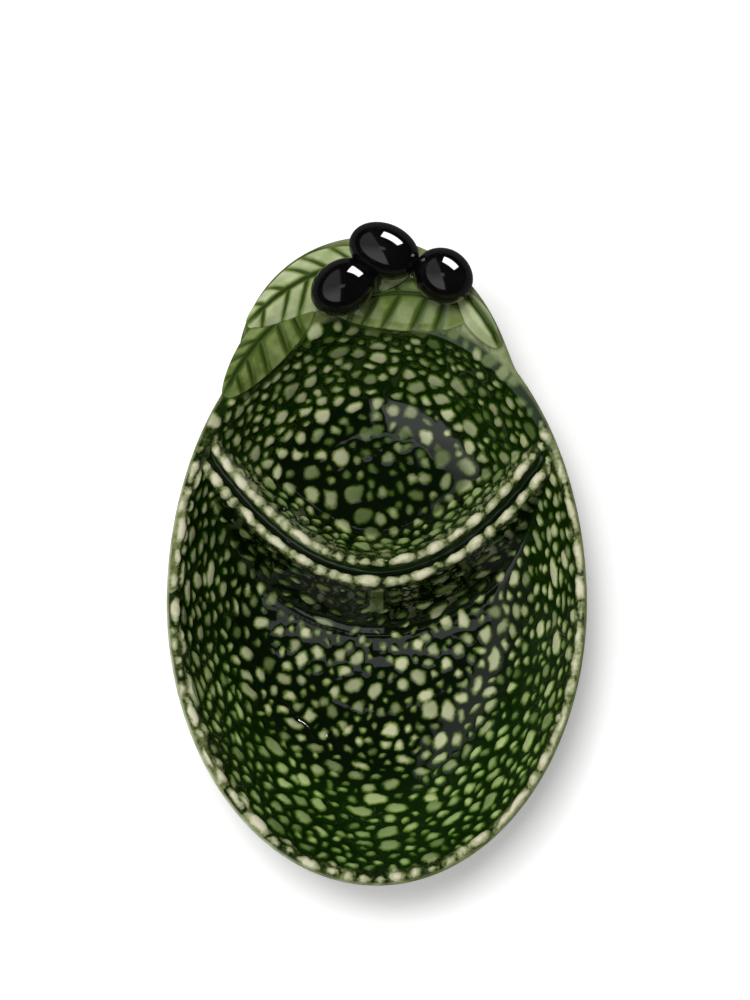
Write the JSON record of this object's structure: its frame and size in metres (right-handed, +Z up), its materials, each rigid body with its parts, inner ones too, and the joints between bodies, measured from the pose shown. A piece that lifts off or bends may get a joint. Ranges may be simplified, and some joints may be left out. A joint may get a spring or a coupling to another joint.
{
  "type": "olive dish",
  "caption": "Pear-shaped glazed earthenware dish, its pebbled hollow split by a bowed partition into a serving bowl and a well for stones, with veined leaves and olives on the back rim.",
  "frame": {"origin": "middle of the bounding box in plan, on the plane the foot stands on", "axes": "+X to the right and +Y to the back with the leaves at the back, +Z up"},
  "size_m": [0.127, 0.1986, 0.0633],
  "materials": {
    "pebble_glaze": "gloss green glaze that breaks pale over raised pebbles",
    "leaf_glaze": "gloss pale yellow-green glaze, dark in the veins",
    "olive_glaze": "high gloss black glaze",
    "bare_clay": "fired clay, wiped clean of glaze"
  },
  "bodies": {
    "root": {"dish_body": "pebble_glaze", "foot_ring": "bare_clay", "partition_wall": "pebble_glaze", "leaf_upper_left": "leaf_glaze", "leaf_lower_left": "leaf_glaze", "leaf_middle": "leaf_glaze", "leaf_right": "leaf_glaze", "olive_rear": "olive_glaze", "olive_left": "olive_glaze", "olive_right": "olive_glaze"}
  },
  "joints": []
}
